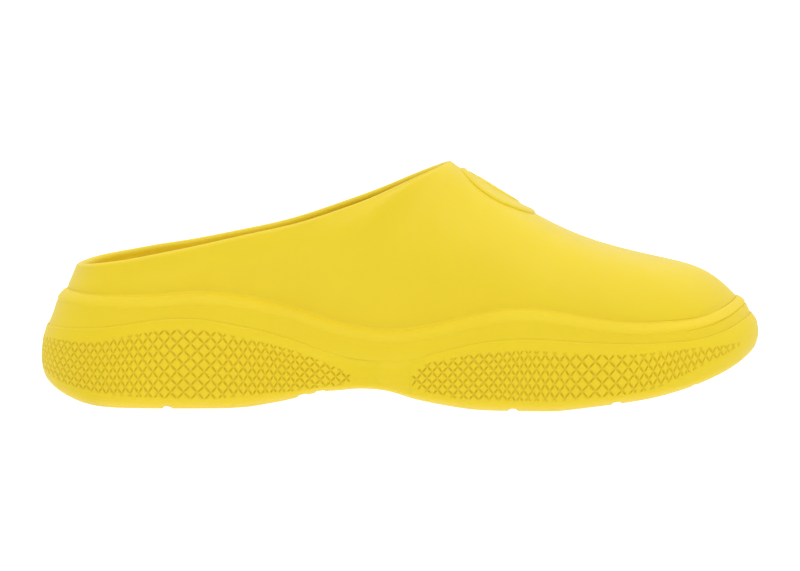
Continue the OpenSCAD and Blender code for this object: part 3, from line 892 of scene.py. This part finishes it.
class Nodes:
    """Short names for building a node material."""

    def __init__(self, name):
        self.material = bpy.data.materials.new(name)
        self.material.use_nodes = True
        self.tree = self.material.node_tree
        self.shader = self.tree.nodes["Principled BSDF"]
        self.place = self.add("ShaderNodeTexCoord").outputs["Object"]

    def add(self, kind, **settings):
        node = self.tree.nodes.new(kind)
        for key, value in settings.items():
            setattr(node, key, value)
        return node

    def join(self, source, target):
        self.tree.links.new(source, target)

    def noise(self, scale, detail=2.0, rough=0.5):
        node = self.add("ShaderNodeTexNoise")
        node.inputs["Scale"].default_value = scale
        node.inputs["Detail"].default_value = detail
        node.inputs["Roughness"].default_value = rough
        self.join(self.place, node.inputs["Vector"])
        return node.outputs["Fac"]

    def map(self, value, low, high, to_low, to_high):
        node = self.add("ShaderNodeMapRange")
        node.inputs["From Min"].default_value = low
        node.inputs["From Max"].default_value = high
        node.inputs["To Min"].default_value = to_low
        node.inputs["To Max"].default_value = to_high
        self.join(value, node.inputs["Value"])
        return node.outputs["Result"]

    def mix(self, factor, a, b):
        node = self.add("ShaderNodeMix", data_type="RGBA")
        self.join(factor, node.inputs["Factor"])
        for value, socket in ((a, node.inputs["A"]), (b, node.inputs["B"])):
            if isinstance(value, tuple):
                socket.default_value = value
            else:
                self.join(value, socket)
        return node.outputs["Result"]

    def bump(self, height, strength, distance, before=None):
        node = self.add("ShaderNodeBump")
        node.inputs["Strength"].default_value = strength
        node.inputs["Distance"].default_value = distance
        self.join(height, node.inputs["Height"])
        if before is not None:
            self.join(before, node.inputs["Normal"])
        return node.outputs["Normal"]


def rubber(name, roughness=0.52, shine=0.45):
    """Matte moulded foam rubber: a fine pebble grain, slight cloudiness in the colour, and
    painted shade in the grooves, a darker colour where they sink in."""
    m = Nodes(name)
    cloud = m.map(m.noise(38, 3), 0.35, 0.65, 0.0, 0.16)
    tone = m.mix(cloud, YELLOW, YELLOW_DEEP)
    # Painted shade: the colour turns darker with the depth of the grooves and notches.
    groove_shade = m.add("ShaderNodeAttribute", attribute_name="groove_shade").outputs["Fac"]
    tone = m.mix(m.map(groove_shade, 0.0, 1.0, 0.0, 1.0), tone, GROOVE_SHADE_YELLOW)
    m.join(tone, m.shader.inputs["Base Color"])
    m.join(m.map(m.noise(260, 2), 0.3, 0.7, roughness - 0.05, roughness + 0.07), m.shader.inputs["Roughness"])
    grain = m.bump(m.noise(3200, 2), 0.10, 0.00012)
    m.join(m.bump(m.noise(120, 2), 0.05, 0.0006, grain), m.shader.inputs["Normal"])
    m.shader.inputs["Specular IOR Level"].default_value = shine
    m.shader.inputs["Sheen Weight"].default_value = 0.16
    m.shader.inputs["Sheen Roughness"].default_value = 0.35
    m.shader.inputs["Subsurface Weight"].default_value = 0.15
    m.shader.inputs["Subsurface Radius"].default_value = (1.0, 0.85, 0.35)
    m.shader.inputs["Subsurface Scale"].default_value = 0.0012
    return m.material


def knit(name):
    """Fine knitted cloth: rows of small loops from two crossed waves, with painted shade between the loops.
    """
    m = Nodes(name)
    split = m.add("ShaderNodeSeparateXYZ")
    m.join(m.place, split.inputs[0])

    def wave(value, pitch, phase=0.0):
        scaled = m.add("ShaderNodeMath", operation="MULTIPLY_ADD")
        m.join(value, scaled.inputs[0])
        scaled.inputs[1].default_value = 2 * math.pi / pitch
        scaled.inputs[2].default_value = phase
        node = m.add("ShaderNodeMath", operation="SINE")
        m.join(scaled.outputs[0], node.inputs[0])
        return node.outputs[0]

    product = m.add("ShaderNodeMath", operation="MULTIPLY")
    m.join(wave(split.outputs["X"], 0.0016), product.inputs[0])
    m.join(wave(split.outputs["Y"], 0.0012), product.inputs[1])
    loops = m.map(product.outputs[0], -1, 1, 0, 1)
    # Painted shade: the colour is darker where the loops sink and lighter on their tops.
    tone = m.mix(loops, (0.70, 0.51, 0.03, 1), (0.92, 0.71, 0.07, 1))
    tone = m.mix(m.map(m.noise(60, 3), 0.3, 0.7, 0, 0.2), tone, (0.74, 0.54, 0.05, 1))
    m.join(tone, m.shader.inputs["Base Color"])
    m.join(m.bump(loops, 0.5, 0.0004), m.shader.inputs["Normal"])
    m.shader.inputs["Roughness"].default_value = 0.85
    m.shader.inputs["Sheen Weight"].default_value = 0.3
    m.shader.inputs["Sheen Roughness"].default_value = 0.5
    return m.material


def foam(name):
    """Closed-cell foam: tiny round cells."""
    m = Nodes(name)
    cells = m.add("ShaderNodeTexVoronoi")
    cells.inputs["Scale"].default_value = 1500
    m.join(m.place, cells.inputs["Vector"])
    tone = m.mix(m.map(cells.outputs["Distance"], 0, 0.6, 0, 0.5), (0.80, 0.60, 0.05, 1), (0.7, 0.5, 0.03, 1))
    m.join(tone, m.shader.inputs["Base Color"])
    m.join(m.bump(cells.outputs["Distance"], 0.4, 0.0003), m.shader.inputs["Normal"])
    m.shader.inputs["Roughness"].default_value = 0.8
    return m.material


# ------------------------------------------------------------------ studio

FLOOR_GLOW, SKY_LOW, SKY_HIGH, BACKDROP, KEY = 0.83, 0.2, 1.12, 0.35, 0.56


def floor_material():
    """A white light table: it glows, so the underside is lit from below, and the camera sees
    it at full white."""
    m = Nodes("studio_floor")
    tone = m.mix(m.map(m.noise(3, 2), 0.3, 0.7, 0, 1), (0.24, 0.24, 0.24, 1), (0.26, 0.26, 0.26, 1))
    m.join(tone, m.shader.inputs["Base Color"])
    m.shader.inputs["Roughness"].default_value = 0.9
    m.shader.inputs["Specular IOR Level"].default_value = 0.0
    m.shader.inputs["Emission Color"].default_value = (1, 1, 1, 1)
    seen = m.add("ShaderNodeLightPath").outputs["Is Camera Ray"]
    m.join(m.map(seen, 0, 1, FLOOR_GLOW, 1.2), m.shader.inputs["Emission Strength"])
    return m.material


def studio_world():
    """A white studio: bright overhead and behind the object, dimmer round the camera. The
    camera itself sees full white."""
    world = bpy.data.worlds.new("studio")
    world.use_nodes = True
    tree = world.node_tree
    light = tree.nodes["Background"]
    light.inputs["Color"].default_value = (1, 1, 1, 1)
    way = tree.nodes.new("ShaderNodeSeparateXYZ")
    tree.links.new(tree.nodes.new("ShaderNodeTexCoord").outputs["Generated"], way.inputs[0])

    def ramp(axis, low, high, to_low, to_high):
        node = tree.nodes.new("ShaderNodeMapRange")
        values = {"From Min": low, "From Max": high, "To Min": to_low, "To Max": to_high}
        for name, value in values.items():
            node.inputs[name].default_value = value
        tree.links.new(way.outputs[axis], node.inputs["Value"])
        return node.outputs["Result"]

    total = tree.nodes.new("ShaderNodeMath")
    total.operation = "ADD"
    tree.links.new(ramp("Z", 0, 1, SKY_LOW, SKY_HIGH), total.inputs[0])
    tree.links.new(ramp("Y", -0.4, 0.7, 0, BACKDROP), total.inputs[1])
    tree.links.new(total.outputs[0], light.inputs["Strength"])
    seen = tree.nodes.new("ShaderNodeBackground")
    seen.inputs["Color"].default_value = (1, 1, 1, 1)
    seen.inputs["Strength"].default_value = 1.2
    path = tree.nodes.new("ShaderNodeLightPath")
    mix = tree.nodes.new("ShaderNodeMixShader")
    tree.links.new(path.outputs["Is Camera Ray"], mix.inputs["Fac"])
    tree.links.new(light.outputs["Background"], mix.inputs[1])
    tree.links.new(seen.outputs["Background"], mix.inputs[2])
    tree.links.new(mix.outputs["Shader"], tree.nodes["World Output"].inputs["Surface"])
    bpy.context.scene.world = world


def studio():
    reach = 60.0
    mesh = bpy.data.meshes.new("floor")
    corners = [(-reach, -reach, 0), (reach, -reach, 0), (reach, reach, 0), (-reach, reach, 0)]
    mesh.from_pydata(corners, [], [(0, 1, 2, 3)])
    mesh.materials.append(floor_material())
    floor = bpy.data.objects.new("floor", mesh)
    bpy.context.scene.collection.objects.link(floor)
    studio_world()

    sun = bpy.data.lights.new("key", "SUN")
    sun.energy = KEY
    sun.angle = math.radians(50)
    key = bpy.data.objects.new("key", sun)
    key.rotation_euler = (math.radians(36), math.radians(8), 0)
    bpy.context.scene.collection.objects.link(key)


def camera():
    """The side view: a long lens, a little above the sole, with the toe to the right."""
    elevation, distance, frame_width = math.radians(4.5), 2.6, 0.3232
    target = Vector(((HEEL_BACK + 144.9) * MM, 0, 0.0466))
    data = bpy.data.cameras.new("camera")
    data.sensor_width = 36.0
    data.lens = data.sensor_width * distance / frame_width
    data.clip_end = 200
    cam = bpy.data.objects.new("camera", data)
    back = Vector((0, -math.cos(elevation), math.sin(elevation)))
    cam.location = target + back * distance
    cam.rotation_euler = back.to_track_quat("Z", "Y").to_euler()
    bpy.context.scene.collection.objects.link(cam)
    bpy.context.scene.camera = cam


# ------------------------------------------------------------------ assembly


def build():
    upper_rubber = rubber("upper_rubber")
    sole_rubber = rubber("midsole_rubber", 0.58, 0.41)
    outsole_rubber = rubber("outsole_rubber", 0.58, 0.36)

    def heel_dent(p, run):
        return texture(p, run, heel_zone_top, heel_zone_low, heel_rows, 61.6, 64.0)

    def fore_dent(p, run):
        return texture(p, run, fore_zone_top, fore_zone_low, fore_rows, 225.0, 63.0)

    heel_stations = even_stations(-HEEL_END, HEEL_END, 0.42)
    fore_stations = even_stations(FOREFOOT_START, 2 * STATIONS - FOREFOOT_START, 0.42)
    heel_tread, fore_tread = (HEEL_GROOVES, HEEL_NOTCHES), (FORE_GROOVES, FORE_NOTCHES)
    pieces = {
        "upper": (upper_piece(upper_rubber), "upper_rubber"),
        "midsole": (midsole_piece(sole_rubber), "midsole_rubber"),
        "heel_outsole": (
            outsole_piece("heel_outsole_skin", heel_stations, 90, heel_tread, heel_dent, outsole_rubber),
            "outsole_rubber",
        ),
        "forefoot_outsole": (
            outsole_piece("forefoot_outsole_skin", fore_stations, 76, fore_tread, fore_dent, outsole_rubber),
            "outsole_rubber",
        ),
        "vamp_badge": (badge_piece(rubber("badge_rubber", 0.48)), "badge_rubber"),
    }
    for node, (piece, slot) in pieces.items():
        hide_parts(node)
        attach(piece, "shell")

    soft = {
        "footbed": (footbed_piece(foam("footbed_foam")), "footbed_foam"),
        "footbed_cover": (cover_piece(knit("knit_cover")), "knit_cover"),
    }
    for node, (piece, slot) in soft.items():
        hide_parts(node)
        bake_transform(piece)


build()
studio()
camera()
bpy.context.scene.view_settings.view_transform = "Standard"
